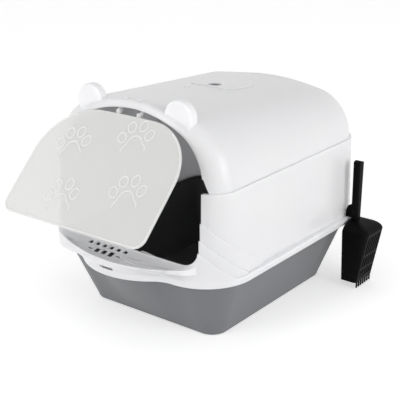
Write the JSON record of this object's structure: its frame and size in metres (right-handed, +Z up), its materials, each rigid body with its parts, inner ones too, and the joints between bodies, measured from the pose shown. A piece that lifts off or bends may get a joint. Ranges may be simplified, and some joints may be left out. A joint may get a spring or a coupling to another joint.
{
  "type": "covered litter box",
  "caption": "Covered cat litter box: flared tray with inner pan, domed hood with ears, swinging see-through flap, lift-off filter cover and hanging scoop.",
  "frame": {"origin": "on the floor, under the flap's centre plane and 188 mm forward of the hood's rear edge", "axes": "+Z up, +Y to the back, +X to the right as seen from the front"},
  "size_m": [0.455, 0.6149, 0.415],
  "materials": {
    "tray_grey": "satin",
    "pan_black": "satin",
    "hood_white": "gloss",
    "bracket_white": "gloss",
    "flap_frosted": "frosted, see-through",
    "cover_white": "gloss",
    "filter_foam": "open foam",
    "scoop_black": "satin"
  },
  "bodies": {
    "base": {"base_tray": "tray_grey", "litter_pan": "pan_black"},
    "hood": {"hood_shell": "hood_white", "hinge_bracket": "bracket_white", "carbon_filter": "filter_foam"},
    "flap": {"flap_door": "flap_frosted"},
    "cover": {"filter_cover": "cover_white"},
    "scoop": {"scoop": "scoop_black"}
  },
  "joints": [
    {"name": "hood_lift", "type": "slide", "parent": "base", "child": "hood", "axis": [0, 0, 1], "range_m": [0, 0.3]},
    {"name": "flap_swing", "type": "hinge", "parent": "hood", "child": "flap", "pos_m": [0, -0.274, 0.381], "axis": [1, 0, 0], "range_deg": [-35, 105]},
    {"name": "cover_lift", "type": "slide", "parent": "hood", "child": "cover", "axis": [0, 0, 1], "range_m": [0, 0.04]},
    {"name": "scoop_lift", "type": "slide", "parent": "hood", "child": "scoop", "axis": [0, 0, 1], "range_m": [0, 0.06]}
  ]
}
